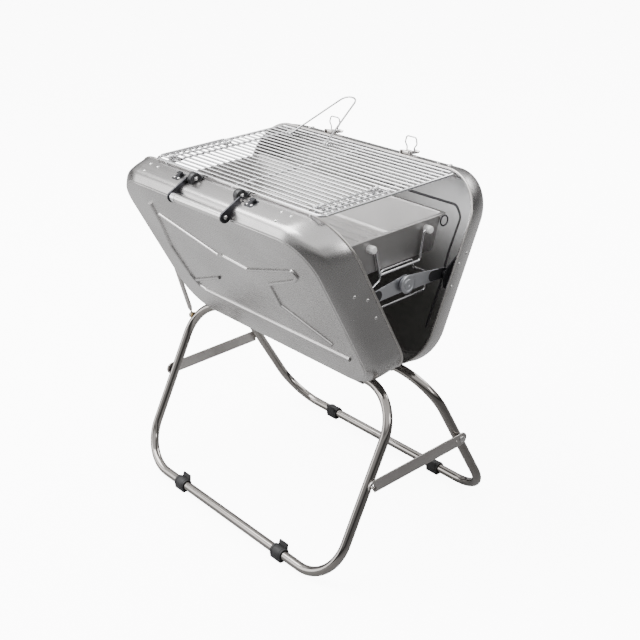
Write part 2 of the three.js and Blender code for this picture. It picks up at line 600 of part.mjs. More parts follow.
// The grate's wire handle stands up, leaning back over the rear rim.
const HANDLE_LEAN = 26.6 * Math.PI / 180; // above horizontal, towards the rear
const HANDLE_LENGTH = 93.4;
const handleMid = (HANDLE_X0 + HANDLE_X1) / 2;
const lean = (x, u) => v3(x, HANDLE_Y + u * Math.cos(HANDLE_LEAN), EYE_Z + u * Math.sin(HANDLE_LEAN));
place(group, "grate_handle", wire([
  lean(HANDLE_X0 - 5, 0), lean(HANDLE_X0 + 5, 0), lean(handleMid - 11, HANDLE_LENGTH),
  lean(handleMid + 11, HANDLE_LENGTH), lean(HANDLE_X1 - 5, 0), lean(HANDLE_X1 + 5, 0),
], 2, HANDLE_R, 8, false, 4), WIRE);

// A flat loop folds down outward at each end of the grate.
for (const [side, x, reach] of [["left", SIDE_LEFT, -SIDE_REACH], ["right", SIDE_RIGHT, SIDE_REACH]]) {
  place(group, `grate_side_handle_${side}`, wire([
    v3(x, SIDE_Y0, EYE_Z), v3(x + reach, SIDE_Y0, EYE_Z), v3(x + reach, SIDE_Y1, EYE_Z), v3(x, SIDE_Y1, EYE_Z),
  ], 3, HANDLE_R, 8, true, 4), WIRE);
}

// Angle brackets inside the top walls that the grate rests on. Front and rear ones miss each other.
const REST_X = 136;
const REST_SHIFT = 8.5;
const REST_T = 1.4;
const wallHigh = (d) => RIM_HIGH + (RIDGE_HIGH - RIM_HIGH) * (d - RIM_D) / (RIDGE_D - RIM_D);
const grateRest = () => {
  const shelf = (d) => (GRATE_Z - FRAME_R - GAP - HINGE_Z + d * Math.sin(TILT)) / Math.cos(TILT);
  const under = (d) => wallHigh(d) - SHEET - GAP;
  const shape = new THREE.Shape();
  shape.moveTo(33, under(33));
  shape.lineTo(1.2, under(1.2));
  shape.lineTo(-0.8, under(0.6) - 0.5);
  shape.lineTo(-3.8, shelf(-3.8));
  shape.lineTo(-18.2, shelf(-18.2));
  shape.lineTo(-18.2, shelf(-18.2) - REST_T);
  shape.lineTo(-2.4, shelf(-2.4) - 1.8);
  shape.lineTo(1.2, under(1.2) - 1.8);
  shape.lineTo(33, under(33) - REST_T);
  return plateX(shape, -7, 7);
};
for (const [side, x] of [["left", -REST_X], ["right", REST_X]]) {
  place(front, `grate_rest_front_${side}`, turned(grateRest()).translate(x + REST_SHIFT, 0, 0), BRIGHT);
  place(rear, `grate_rest_rear_${side}`, grateRest().translate(x - REST_SHIFT, 0, 0), BRIGHT);
}

// ---- toggle latches on the rear shell and their keepers on the front shell ----
const plateTop = (d) => wallHigh(d) + GAP;
const slab = (d0, d1, lift, thick, x0, x1) => {
  const shape = new THREE.Shape();
  shape.moveTo(d0, plateTop(d0) + lift);
  shape.lineTo(d1, plateTop(d1) + lift);
  shape.lineTo(d1, plateTop(d1) + lift + thick);
  shape.lineTo(d0, plateTop(d0) + lift + thick);
  return plateX(shape, x0, x1);
};
const LEVER_S = 268.6;
const LEVER_D = 7;
const BAIL_S = 271;
const BAIL_D = 14;
const latchBase = () => join(
  slab(3, 26, 0, 1, -9, 9),
  slab(4, 10, 0.5, 5.2, -9, -7.6),
  slab(4, 10, 0.5, 5.2, 7.6, 9),
  rodX(-9, 9, LEVER_D, LEVER_S, 1.1, 10),
);
const latchLever = () => cut(
  join(
    rodX(-4.8, 4.8, LEVER_D, LEVER_S, 2.6, 12),
    (() => {
      const shape = new THREE.Shape();
      shape.moveTo(LEVER_D, LEVER_S - 0.8);
      shape.lineTo(BAIL_D + 3, BAIL_S - 1.8);
      shape.lineTo(25, 272.6);
      shape.lineTo(25, 274.2);
      shape.lineTo(BAIL_D + 3, BAIL_S + 1.6);
      shape.lineTo(LEVER_D, LEVER_S + 2);
      return plateX(shape, -4.8, 4.8);
    })(),
    rodX(-4.8, 4.8, BAIL_D, BAIL_S, 2.2, 12),
  ),
  rodX(-6, 6, LEVER_D, LEVER_S, 1.5, 12),
  rodX(-6, 6, BAIL_D, BAIL_S, 1.3, 12),
);
// The bail is a waisted wire loop standing up, leaning a little outward, its lower wire through the lever.
const BAIL_LEAN = TILT - 6 * Math.PI / 180;
const latchBail = () => {
  const up = (x, u) => v3(x, BAIL_D - u * Math.sin(BAIL_LEAN), BAIL_S + u * Math.cos(BAIL_LEAN));
  return wire([
    up(-6.6, 0), up(-6.6, 7), up(-10, 13), up(-8.5, 20), up(8.5, 20), up(10, 13), up(6.6, 7), up(6.6, 0),
  ], 0.9, 0.9, 6, true, 2);
};
const keeper = () => join(
  slab(12, 27, 0, 1, -7, 7),
  slab(14, 18, 0.5, 3, -4, 4),
);
for (const [side, x] of [["left", -LATCH_X], ["right", LATCH_X]]) {
  place(rear, `latch_base_${side}`, latchBase().translate(x, 0, 0), BRUSHED);
  place(rear, `latch_lever_${side}`, latchLever().translate(x, 0, 0), BRUSHED);
  place(rear, `latch_bail_${side}`, latchBail().translate(x, 0, 0), WIRE);
  place(front, `latch_keeper_${side}`, turned(keeper()).translate(x, 0, 0), GUNMETAL);
}

// ---- carry handle on the front shell's top wall ----
const CARRY_S = 272.2;
const CARRY_D = 22;
const GRIP_S = 272;
const GRIP_D = 50;
const GRIP_R = 5.7;
const GRIP_HALF = 54;
const carryCap = () => join(
  slab(3, 27, 0, 1, -8, 8),
  slab(17, 27, 0.5, 7.4, -8, -6),
  slab(17, 27, 0.5, 7.4, 6, 8),
  rodX(-8, 8, CARRY_D, CARRY_S, 1.8, 12),
);
const armPlate = () => {
  const shape = new THREE.Shape();
  shape.moveTo(CARRY_D, CARRY_S - 1.6);
  shape.lineTo(36, 271.4);
  shape.lineTo(GRIP_D - 8, GRIP_S - 2.6);
  shape.lineTo(GRIP_D, GRIP_S - 2);
  shape.lineTo(GRIP_D, GRIP_S + 3);
  shape.lineTo(36, 275.2);
  shape.lineTo(CARRY_D, CARRY_S + 2.6);
  return shape;
};
const carryArm = () => cut(
  join(
    rodX(-5.2, 5.2, CARRY_D, CARRY_S, 3.1, 14),
    plateX(armPlate(), -5.2, -2.2),
    plateX(armPlate(), 2.2, 5.2),
    rodX(-5.2, 5.2, GRIP_D, GRIP_S, GRIP_R + 2, 20),
  ),
  rodX(-7, 7, CARRY_D, CARRY_S, 2.2, 12),
  rodX(-7, 7, GRIP_D, GRIP_S, GRIP_R + GAP, 20),
);
for (const [side, x] of [["left", -CARRY_X], ["right", CARRY_X]]) {
  place(front, `carry_cap_${side}`, turned(carryCap()).translate(x, 0, 0), GUNMETAL);
  place(front, `carry_arm_${side}`, turned(carryArm()).translate(x, 0, 0), GUNMETAL);
}
place(front, "carry_grip", turned(rodX(-GRIP_HALF, GRIP_HALF, GRIP_D, GRIP_S, GRIP_R, 20)), POLISHED);

const part = new THREE.Group();
group.position.y = MIDDLE_Y;
part.add(group);

export default part;
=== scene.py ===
"""A folding camp grill, standing open on its legs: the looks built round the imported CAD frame.

Sizes are in millimetres in the grill's own frame, whose Y = 0 is the case hinge. `piece` turns them into
metres and shifts them to the frame's origin.
"""

import math

import bpy
from mathutils import Matrix, Vector


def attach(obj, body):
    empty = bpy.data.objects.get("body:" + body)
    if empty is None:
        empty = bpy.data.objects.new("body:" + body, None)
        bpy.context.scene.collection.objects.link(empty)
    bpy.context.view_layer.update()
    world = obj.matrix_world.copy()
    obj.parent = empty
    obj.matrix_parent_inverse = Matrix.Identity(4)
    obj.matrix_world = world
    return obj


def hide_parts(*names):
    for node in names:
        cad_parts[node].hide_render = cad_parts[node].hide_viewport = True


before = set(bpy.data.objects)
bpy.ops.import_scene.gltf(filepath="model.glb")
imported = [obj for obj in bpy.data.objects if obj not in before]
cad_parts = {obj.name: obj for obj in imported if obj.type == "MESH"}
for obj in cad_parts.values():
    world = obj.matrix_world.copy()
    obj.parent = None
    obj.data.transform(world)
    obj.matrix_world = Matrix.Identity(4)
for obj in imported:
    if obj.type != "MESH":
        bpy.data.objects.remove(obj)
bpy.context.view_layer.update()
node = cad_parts

# ---- driving dimensions, as in the CAD ----
MM = 0.001
MIDDLE_Y = 6.594
TILT = math.radians(26)
HINGE_Z = 253.6
SHEET = 1.5
RIM_D = 0.6
RIDGE_D = 36
FACE_D = 48
RIM_HALF = 215
RIDGE_HALF = 204.5
RIM_LOW = 4.2
RIM_HIGH = 263
RIDGE_LOW = 8
RIDGE_HIGH = 270
CHAMFER = 9
RIM_R = 60
RIDGE_R = 57
HEM_R = 1.5
FACE_R = 50
TUBE_R = 6.5
LEG_HALF = 213.5
LEG_R = 60
PIVOT_S = -0.8
PIVOT_D = 29
FOOT_Y = 150.7
FOOT_Z = 10
FOOT_X = 112.3
BRACE_Z = 135
BRACE_X = 221
TRAY_TOP = 447
TRAY_LOW = 401
TRAY_HALF_X = 183
TRAY_HALF_Y = 79
TRAY_LOW_Y = 62
GRATE_Z = 492.3
GRATE_X = (-148, 184)
GRATE_Y = (-120, 98)
ROD_R = 1.4
EYE_Z = GRATE_Z + 3.6
FRONT = -1
REAR = 1

X = Vector((1, 0, 0))
Y = Vector((0, 1, 0))
Z = Vector((0, 0, 1))


def lerp(a, b, t):
    return a + (b - a) * t


def shell_up(side):
    return Vector((0, side * math.sin(TILT), math.cos(TILT)))


def shell_out(side):
    return Vector((0, side * math.cos(TILT), -math.sin(TILT)))


def on_shell(side, x, s, d):
    """The point x along the hinge, s up the shell and d outward from its rim plane."""
    return Vector((x, 0, HINGE_Z)) + shell_up(side) * s + shell_out(side) * d


def wall_half(d):
    return lerp(RIM_HALF, RIDGE_HALF, (d - RIM_D) / (RIDGE_D - RIM_D))


def wall_high(d):
    return lerp(RIM_HIGH, RIDGE_HIGH, (d - RIM_D) / (RIDGE_D - RIM_D))


# ---- materials ----
def shader(name, color, roughness, metallic=0.0, **extra):
    material = bpy.data.materials.new(name)
    material.use_nodes = True
    bsdf = material.node_tree.nodes["Principled BSDF"]
    bsdf.inputs["Base Color"].default_value = (*color, 1)
    bsdf.inputs["Roughness"].default_value = roughness
    bsdf.inputs["Metallic"].default_value = metallic
    for socket, value in extra.items():
        bsdf.inputs[socket.replace("_", " ")].default_value = value
    return material


def link(material, *pairs):
    for a, b in pairs:
        material.node_tree.links.new(a, b)


def add(material, kind, **inputs):
    made = material.node_tree.nodes.new(kind)
    for name, value in inputs.items():
        made.inputs[name.replace("_", " ")].default_value = value
    return made


# Painted shade inside the shells: a ramp over X and Z, dark low down and towards -X, light at the top towards
# +X.
PAINTED_SHADE_SLANT = 1.2
PAINTED_SHADE_SPREAD = (1.35, 2.05)


def brushed(name, dark, light, rough, grain, bump=0.04, painted_shade=None):
    """Brushed metal: fine grain stretched along `grain`, in soft patches, or with painted shade, dark low
    down and towards -X.
    """
    material = shader(name, light, rough, 1.0)
    bsdf = material.node_tree.nodes["Principled BSDF"]
    coords = add(material, "ShaderNodeTexCoord")
    stretch = add(material, "ShaderNodeMapping", Scale=grain)
    fine = add(material, "ShaderNodeTexNoise", Scale=1.0, Detail=4.0, Roughness=0.65)
    patches = add(material, "ShaderNodeTexNoise", Scale=9.0, Detail=3.0)
    tint = add(material, "ShaderNodeMix")
    tint.data_type = "RGBA"
    tint.inputs[6].default_value = (*dark, 1)
    tint.inputs[7].default_value = (*light, 1)
    spread = add(material, "ShaderNodeMapRange", From_Min=0.35, From_Max=0.65)
    # Painted shade: the tone follows height and X instead of the patches.
    if painted_shade:
        split = add(material, "ShaderNodeSeparateXYZ")
        across = add(material, "ShaderNodeMath")
        across.operation = "MULTIPLY_ADD"
        across.inputs[1].default_value = PAINTED_SHADE_SLANT
        link(
            material,
            (coords.outputs["Generated"], split.inputs["Vector"]),
            (split.outputs["X"], across.inputs[0]),
            (split.outputs["Z"], across.inputs[2]),
        )
        shade_ramp = across.outputs["Value"]
        spread.inputs["From Min"].default_value, spread.inputs["From Max"].default_value = painted_shade
    rough_range = add(material, "ShaderNodeMapRange", From_Min=0.3, From_Max=0.7)
    rough_range.inputs["To Min"].default_value = rough - 0.02
    rough_range.inputs["To Max"].default_value = rough + 0.03
    bumps = add(material, "ShaderNodeBump", Strength=bump, Distance=0.0005)
    link(
        material,
        (coords.outputs["Object"], stretch.inputs["Vector"]),
        (stretch.outputs["Vector"], fine.inputs["Vector"]),
        (coords.outputs["Object"], patches.inputs["Vector"]),
        ((shade_ramp if painted_shade else patches.outputs["Fac"]), spread.inputs["Value"]),
        (spread.outputs["Result"], tint.inputs[0]),
        (tint.outputs[2], bsdf.inputs["Base Color"]),
        (fine.outputs["Fac"], rough_range.inputs["Value"]),
        (rough_range.outputs["Result"], bsdf.inputs["Roughness"]),
        (fine.outputs["Fac"], bumps.inputs["Height"]),
        (bumps.outputs["Normal"], bsdf.inputs["Normal"]),
    )
    return material


SHELL = brushed("shell_steel", (0.44, 0.428, 0.424), (0.54, 0.528, 0.524), 0.27, (12, 500, 500), 0.0)
# The inside of the shells, with painted shade and painted dark reflections: near-black low down, light grey
# at the top right.
INNER = brushed(
    "inner_steel", (0.15, 0.146, 0.14), (0.82, 0.82, 0.83), 0.38, (12, 500, 500), 0.004, PAINTED_SHADE_SPREAD
)
INNER.node_tree.nodes["Principled BSDF"].inputs["Metallic"].default_value = 0.5
BAND = brushed("band_steel", (0.45, 0.43, 0.415), (0.55, 0.53, 0.515), 0.33, (300, 300, 300), 0.01)
TUBE = brushed("tube_steel", (0.24, 0.225, 0.212), (0.30, 0.283, 0.27), 0.1, (200, 200, 200), 0.003)
TRAY = brushed("tray_steel", (0.40, 0.39, 0.385), (0.50, 0.49, 0.485), 0.36, (60, 60, 60), 0.004)
WIRE = shader("wire_chrome", (0.74, 0.74, 0.75), 0.16, 1.0)
LOOP = shader("loop_wire", (0.42, 0.42, 0.43), 0.2, 1.0)
STAY = brushed("stay_steel", (0.55, 0.56, 0.59), (0.66, 0.67, 0.70), 0.36, (200, 200, 200), 0.01)
GUNMETAL = brushed("gunmetal", (0.045, 0.045, 0.05), (0.08, 0.08, 0.088), 0.34, (300, 300, 300))
BRIGHT = shader("rivet_steel", (0.7, 0.69, 0.68), 0.22, 1.0)
# Near-black for the pressed line inside the faces: painted shade, not the steel's own colour.
PAINTED_SHADE_LINE = shader("painted_shade_line", (0.05, 0.05, 0.052), 0.45, 0.6)
FERRULE = shader("ferrule_white", (0.86, 0.86, 0.85), 0.3)
RUBBER = shader("rubber_black", (0.012, 0.012, 0.013), 0.6)
BLACK = shader("black_plastic", (0.016, 0.016, 0.018), 0.38)
BRASS = brushed("dull_brass", (0.24, 0.18, 0.09), (0.36, 0.27, 0.14), 0.33, (200, 200, 200))


# ---- meshes ----
def piece(name, parts, body, material, slot=None, replaces=(), bevel=0.0, angle=35, materials=()):
    """Makes an object from (points, faces) parts, in millimetres, riding on a CAD body."""
    points = []
    faces = []
    marks = []
    for part in parts:
        start = len(points)
        points += [tuple(p) for p in part[0]]
        faces += [tuple(start + i for i in face) for face in part[1]]
        marks += part[2] if len(part) > 2 else [0] * len(part[1])
    mesh = bpy.data.meshes.new(name)
    mesh.from_pydata([(x * MM, (y + MIDDLE_Y) * MM, z * MM) for x, y, z in points], [], faces)
    for look in (material, *materials):
        mesh.materials.append(look)
    mesh.polygons.foreach_set("material_index", marks)
    mesh.polygons.foreach_set("use_smooth", [True] * len(faces))
    mesh.set_sharp_from_angle(angle=math.radians(angle))
    obj = bpy.data.objects.new(name, mesh)
    bpy.context.scene.collection.objects.link(obj)
    if bevel:
        modifier = obj.modifiers.new("edges", "BEVEL")
        modifier.width = bevel * MM
        modifier.segments = 2
        modifier.limit_method = "ANGLE"
        modifier.angle_limit = math.radians(40)
    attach(obj, body)
    if replaces:
        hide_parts(*replaces)
    return obj


def arc(centre, radius, start, end, steps):
    """Points of a flat arc, angles in degrees."""
    angles = [math.radians(lerp(start, end, i / steps)) for i in range(steps + 1)]
    return [(centre[0] + radius * math.cos(a), centre[1] + radius * math.sin(a)) for a in angles]


def circle(centre, radius, steps=24):
    return arc(centre, radius, 0, 360 * (1 - 1 / steps), steps - 1)


def rounded(corners, radius, steps=6, closed=True):
    """A path through corners, each rounded to the radius (or its own radius, in a list)."""
    points = [Vector(c) for c in corners]
    count = len(points)
    radii = radius if isinstance(radius, (list, tuple)) else [radius] * count
    path = []
    for i, here in enumerate(points):
        if radii[i] <= 0 or (not closed and i in (0, count - 1)):
            path.append(here)
            continue
        back = (points[i - 1] - here).normalized()
        ahead = (points[(i + 1) % count] - here).normalized()
        half = back.angle(ahead) / 2
        turn = math.pi - 2 * half
        centre = here + (back + ahead).normalized() * radii[i] / math.sin(half)
        reach = radii[i] / math.tan(half)
        first = here + back * reach - centre
        last = here + ahead * reach - centre
        for k in range(steps + 1):
            a = turn * k / steps
            near = first * (math.sin(turn - a) / math.sin(turn))
            far = last * (math.sin(a) / math.sin(turn))
            path.append(centre + near + far)
    return path


def sweep(path, section, closed=False, flat=None):
    """A section of (across, up) offsets swept along a path. `flat` fixes the section's up direction."""
    count = len(path)
    size = len(section)
    points = []
    normal = None
    for i, here in enumerate(path):
        before = path[i - 1] if closed or i else here
        after = path[(i + 1) % count] if closed or i < count - 1 else here
        tangent = (after - before).normalized()
        if flat:
            normal = flat
        else:
            guess = normal or (X if abs(tangent.x) < 0.9 else Y)
            normal = (guess - tangent * guess.dot(tangent)).normalized()
        side = tangent.cross(normal).normalized()
        points += [here + side * a + normal * b for a, b in section]
    faces = []
    for i in range(count if closed else count - 1):
        j = (i + 1) % count
        for k in range(size):
            m = (k + 1) % size
            faces.append((i * size + k, j * size + k, j * size + m, i * size + m))
    if not closed:
        faces.append(tuple(range(size)))
        faces.append(tuple((count - 1) * size + size - 1 - k for k in range(size)))
    return points, faces


def tube(path, radius, sides=12, closed=False):
    angles = [2 * math.pi * k / sides for k in range(sides)]
    section = [(radius * math.cos(a), radius * math.sin(a)) for a in angles]
    return sweep(path, section, closed)


def ridge(path, half_width, height, up, closed=False):
    """A low bead pressed out of a surface, with steep sides and its foot just under the surface."""
    half = [(1, -0.3), (0.8, 0.35), (0.62, 0.85), (0.36, 1), (0, 1.04)]
    crest = half + [(-a, b) for a, b in half[-2::-1]]
    section = [(half_width * a, height * b) for a, b in crest]
    section += [(-half_width * 0.7, -0.9), (half_width * 0.7, -0.9)]
    return sweep(path, section, closed, up)


def turned(profile, base, axis, sides=24):
    """A lathed body: (radius, height) pairs along an axis from a base point. Zero radii close it."""
    axis = axis.normalized()
    across = (X if abs(axis.x) < 0.9 else Y).cross(axis).normalized()
    other = axis.cross(across)
    points = []
    rings = []
    for radius, height in profile:
        centre = base + axis * height
        if radius == 0:
            rings.append([len(points)])
            points.append(centre)
            continue
        rings.append(list(range(len(points), len(points) + sides)))
        for k in range(sides):
            a = 2 * math.pi * k / sides
            points.append(centre + across * (radius * math.cos(a)) + other * (radius * math.sin(a)))
    faces = []
    for low, high in zip(rings, rings[1:]):
        for k in range(sides):
            m = (k + 1) % sides
            if len(low) == 1:
                faces.append((low[0], high[m], high[k]))
            elif len(high) == 1:
                faces.append((low[k], low[m], high[0]))
            else:
                faces.append((low[k], low[m], high[m], high[k]))
    return points, faces


def ring(base, axis, outer, inner, length, sides=24):
    """A ring centred on base."""
    h = length / 2
    e = min(0.3, h / 3)
    profile = [(inner, -h), (outer - e, -h), (outer, e - h), (outer, h - e), (outer - e, h), (inner, h)]
    points, faces = turned(profile, base, axis, sides)
    last = 5 * sides
    faces += [(k, last + k, last + (k + 1) % sides, (k + 1) % sides) for k in range(sides)]
    return points, faces


def plate(outline, thickness, u, v, origin, holes=(), edge=0.25):
    """A flat plate with rounded edges and holes. The outline is in (u, v), its middle plane at origin."""
    curve = bpy.data.curves.new("plate", "CURVE")
    curve.dimensions = "2D"
    curve.fill_mode = "BOTH"
    curve.extrude = thickness / 2 - edge
    curve.bevel_depth = edge
    curve.bevel_resolution = 1
    curve.offset = -edge
    for loop in (outline, *holes):
        spline = curve.splines.new("POLY")
        spline.points.add(len(loop) - 1)
        for point, place in zip(spline.points, loop):
            point.co = (place[0], place[1], 0, 1)
        spline.use_cyclic_u = True
    holder = bpy.data.objects.new("plate", curve)
    mesh = bpy.data.meshes.new_from_object(holder)
    w = u.cross(v)
    points = [origin + u * p.co.x + v * p.co.y + w * p.co.z for p in mesh.vertices]
    faces = [tuple(f.vertices) for f in mesh.polygons]
    bpy.data.objects.remove(holder)
    bpy.data.meshes.remove(mesh)
    bpy.data.curves.remove(curve)
    return points, faces


def block(low, high, u=X, v=Y, w=Z, origin=Vector((0, 0, 0))):
    corners = [(i, j, k) for k in (0, 1) for j in (0, 1) for i in (0, 1)]
    pick = lambda axis, end: (low, high)[end][axis]
    points = [origin + u * pick(0, i) + v * pick(1, j) + w * pick(2, k) for i, j, k in corners]
    faces = [(0, 2, 3, 1), (4, 5, 7, 6), (0, 1, 5, 4), (2, 6, 7, 3), (0, 4, 6, 2), (1, 3, 7, 5)]
    return points, faces


def rivet(base, axis, radius=2.3, height=1.3):
    dome = [(radius * math.cos(a), height * math.sin(a)) for a in (math.radians(15 * i) for i in range(6))]
    return turned([(0, -0.6), (radius, -0.6), *dome, (0, height)], base, axis, 16)


def coil(base, axis, radius, wire, length, turns):
    axis = axis.normalized()
    across = (X if abs(axis.x) < 0.9 else Y).cross(axis).normalized()
    other = axis.cross(across)
    steps = 14 * turns
    path = []
    for i in range(steps + 1):
        a = 2 * math.pi * i / 14
        along = axis * (length * (i / steps - 0.5))
        path.append(base + along + across * (radius * math.cos(a)) + other * (radius * math.sin(a)))
    return tube(path, wire, 8)


# ---- shells ----
def shell_outline(half, low, high, radius):
    """Points (x, s) round a rounded rectangle, the same number for every size."""
    points = []
    for x, s, quarter in ((1, 1, 0), (-1, 1, 1), (-1, 0, 2), (1, 0, 3)):
        centre = (x * (half - radius), high - radius if s else low + radius)
        points += arc(centre, radius, 90 * quarter, 90 * quarter + 90, 18)
    return points


def shell_stations(inset):
    """(half, low, high, radius, d) from the rim over the ridge and the chamfer to the face."""
    def wall(d):
        t = (d - RIM_D) / (RIDGE_D - RIM_D)
        bulge = 0.8 * math.sin(math.pi * t)
        return (
            lerp(RIM_HALF, RIDGE_HALF, t) - inset + bulge,
            lerp(RIM_LOW, RIDGE_LOW, t) + inset,
            lerp(RIM_HIGH, RIDGE_HIGH, t) - inset + bulge,
            lerp(RIM_R, RIDGE_R, t) - inset,
            d,
        )
    stations = [wall(lerp(RIM_D, RIDGE_D - 5, i / 8)) for i in range(9)]
    start = stations[-1]
    half = RIDGE_HALF - inset
    edge = half - CHAMFER
    corner = (half, RIDGE_LOW + inset, RIDGE_HIGH - inset, RIDGE_R - inset, RIDGE_D)
    t_in = 0.42
    end = tuple(lerp(a, b, t_in) for a, b in zip(
        corner, (edge, RIDGE_LOW + CHAMFER + inset, RIDGE_HIGH - CHAMFER - inset, FACE_R, FACE_D - inset)))
    for i in range(1, 8):                     # the ridge, rounded
        t = i / 8
        stations.append(tuple(
            (1 - t) ** 2 * a + 2 * t * (1 - t) * b + t * t * c for a, b, c in zip(start, corner, end)))
    face = (edge, RIDGE_LOW + CHAMFER + inset, RIDGE_HIGH - CHAMFER - inset, FACE_R, FACE_D - inset)
    stations.append(end)
    for step, drop in ((-0.9, 1.5), (-0.5, 1.15), (0.9, 1.1), (1.5, 0.9), (1.9, 0.3), (2.6, 0), (6, 0)):
        stations.append((edge - step, face[1] + step, face[2] - step, FACE_R - step, face[4] - drop))
    return stations


def shell_mesh(side):
    """One closed sheet: the outside from rim to face, and the inside back to the rim."""
    outer = shell_stations(0)
    inner = shell_stations(SHEET)
    points = []
    for half, low, high, radius, d in outer + inner[::-1]:
        points += [on_shell(side, x, s, d) for x, s in shell_outline(half, low, high, radius)]
    count = len(shell_outline(*outer[0][:4]))
    rings = len(outer) + len(inner)
    faces = []
    marks = []
    flip = side == FRONT
    for i in range(rings):
        j = (i + 1) % rings
        if i == len(outer) - 1:
            continue
        for k in range(count):
            m = (k + 1) % count
            quad = (i * count + k, j * count + k, j * count + m, i * count + m)
            faces.append(quad[::-1] if flip else quad)
            marks.append(1 if len(outer) <= i < rings - 1 else 0)
    cap = tuple((len(outer) - 1) * count + k for k in range(count))
    back = tuple(len(outer) * count + k for k in range(count))
    faces += [cap[::-1] if not flip else cap, back if not flip else back[::-1]]
    marks += [0, 1]
    return points, faces, marks


def shell(side, name, cad):
    points, faces, marks = shell_mesh(side)
    body = "front_case" if side == FRONT else "rear_case"
    piece(name, [(points, faces, marks)], body, SHELL, "brushed", (cad,), angle=60, materials=(INNER,))
    hem = [on_shell(side, x, s, RIM_D + HEM_R) for x, s in shell_outline(RIM_HALF, RIM_LOW, RIM_HIGH, RIM_R)]
    piece(name + "_hem", [tube(hem, HEM_R, 10, True)], body, BAND, "brushed", angle=60)


shell(FRONT, "front_pan", "front_shell")
shell(REAR, "rear_pan", "rear_shell")

# The bead and the star pressed into each face, drawn on its outside.
# Sizes are (half width, height), and paths are in (x, s).
BEAD_SIZE = (3.4, 2.8)
STAR_SIZE = (2.9, 2.5)
BEAD = [(-137, 228), (-142, 190), (-154, 146), (-148, 91), (-137, 72), (-124, 68), (174, 68)]
STAR = [
    [(-129, 210), (-23, 173), (-9, 176), (37, 170), (146, 209),
     (151, 201), (140, 191), (73, 159), (72, 120), (150, 83)],
    [(-137, 84), (-58, 119)],
]


def pressing(side, name, corners, half_width, height, radius):
    body = "front_case" if side == FRONT else "rear_case"
    sign = 1 if side == FRONT else -1
    path = rounded([on_shell(side, sign * x, s, FACE_D) for x, s in corners], radius, 6, False)
    piece(name, [ridge(path, half_width, height, shell_out(side))], body, SHELL, "brushed", angle=80)


# ---- legs ----
pivot = on_shell(REAR, 0, PIVOT_S, PIVOT_D)
leg_down = (Vector((0, FOOT_Y, FOOT_Z)) - pivot).normalized()
leg_length = (Vector((0, FOOT_Y, FOOT_Z)) - pivot).length
half_turn = Matrix.Rotation(math.pi, 4, "Z")
brace_y = (pivot + leg_down * ((pivot.z - BRACE_Z) / -leg_down.z)).y


def leg_point(x, t):
    return Vector((x, 0, 0)) + pivot + leg_down * t


def turn_round(part):
    """The matching piece on the other half: half a turn about Z."""
    return [half_turn @ Vector(p) for p in part[0]], part[1]


def both(name, part, looks, front_body, rear_body, slot, front_cad, rear_cad, **extra):
    piece(f"{name}_rear", part, rear_body, looks, slot, rear_cad, **extra)
    piece(f"{name}_front", [turn_round(p) for p in part], front_body, looks, slot, front_cad, **extra)


def leg():
    ends = ((-LEG_HALF, 0), (LEG_HALF, 0), (LEG_HALF, leg_length), (-LEG_HALF, leg_length))
    corners = [leg_point(x, t) for x, t in ends]
    loop = tube(rounded(corners, LEG_R, 20), TUBE_R, 32, True)
    pin = Vector((-LEG_HALF - TUBE_R + 1, brace_y, BRACE_Z))
    peg = turned([(0, 0), (2, 0), (2, 6.4), (3.2, 6.4), (3.2, 7.4), (2.2, 8.2), (0, 8.2)], pin, -X, 20)
    return [loop, peg]


both("leg_loop", leg(), TUBE, "front_legs", "rear_legs", "polished", ("front_leg",), ("rear_leg",), angle=50)


def foot(x):
    """A rubber clip round the foot bar, flat underneath, with a lip on its inner side."""
    outline = [(-6, 0), (6, 0), (8, 1.5), *arc((0, FOOT_Z), 8.7, -8, 188, 16), (-8, 1.5)]
    sleeve = plate(outline, 21, Y, Z, Vector((x, FOOT_Y, 0)), [circle((0, FOOT_Z), TUBE_R + 0.1, 28)], 0.8)
    lip = [(-8.7, FOOT_Z + 1), (-9.8, FOOT_Z + 12.4), (-7.9, FOOT_Z + 12.4), (-5.6, FOOT_Z + 6.6)]
    fin = plate(lip, 17, Y, Z, Vector((x, FOOT_Y, 0)), edge=0.6)
    groove = [ring(Vector((x + dx, FOOT_Y, FOOT_Z)), X, 9.2, 8.4, 1.6, 28) for dx in (-7, 7)]
    return [sleeve, fin] + groove


for side_name, other, x in (("left", "right", -FOOT_X), ("right", "left", FOOT_X)):
    both(f"rubber_foot_{side_name}", foot(x), RUBBER, "front_legs", "rear_legs", "rubber",
         (f"foot_front_{other}",), (f"foot_rear_{side_name}",))


# ---- braces ----
def brace():
    half = 9
    far = -brace_y
    outline = [
        *arc((brace_y, BRACE_Z), half, -90, 90, 12),
        (far + 3, BRACE_Z + half), *arc((far + 2, BRACE_Z), half, 90, 178, 8),
        (far - 7, BRACE_Z - 1), (far - 4.2, BRACE_Z - 1), *arc((far - 0.7, BRACE_Z + 1), 3.4, 180, 0, 10),
        (far + 3.2, BRACE_Z - half),
    ]
    holes = [circle((brace_y, BRACE_Z), 2.5, 20), circle((brace_y - 11, BRACE_Z + 1), 1.8, 14)]
    return [plate(outline, 2, Y, Z, Vector((BRACE_X + 1, 0, 0)), holes, 0.3)]


piece("brace_bar_right", brace(), "brace_r", BAND, "brushed", ("brace_right",))
piece("brace_bar_left", [turn_round(p) for p in brace()], "brace_l", BAND, "brushed", ("brace_left",))


def brace_stud(knob):
    base = Vector((LEG_HALF + TUBE_R - 1, brace_y, BRACE_Z))
    shaft = [(0, 0), (4, 0), (4, 1.7), (2.2, 1.7), (2.2, 4.3)]
    head = [(4.6, 4.3), (4.4, 5), (2.8, 6), (0, 6.4)]
    if knob:
        head = [(6.4, 4.3), (6.4, 6), (5, 7.4), (2.5, 7.9), (0, 8)]
    return turned(shaft + head, base, X, 24)


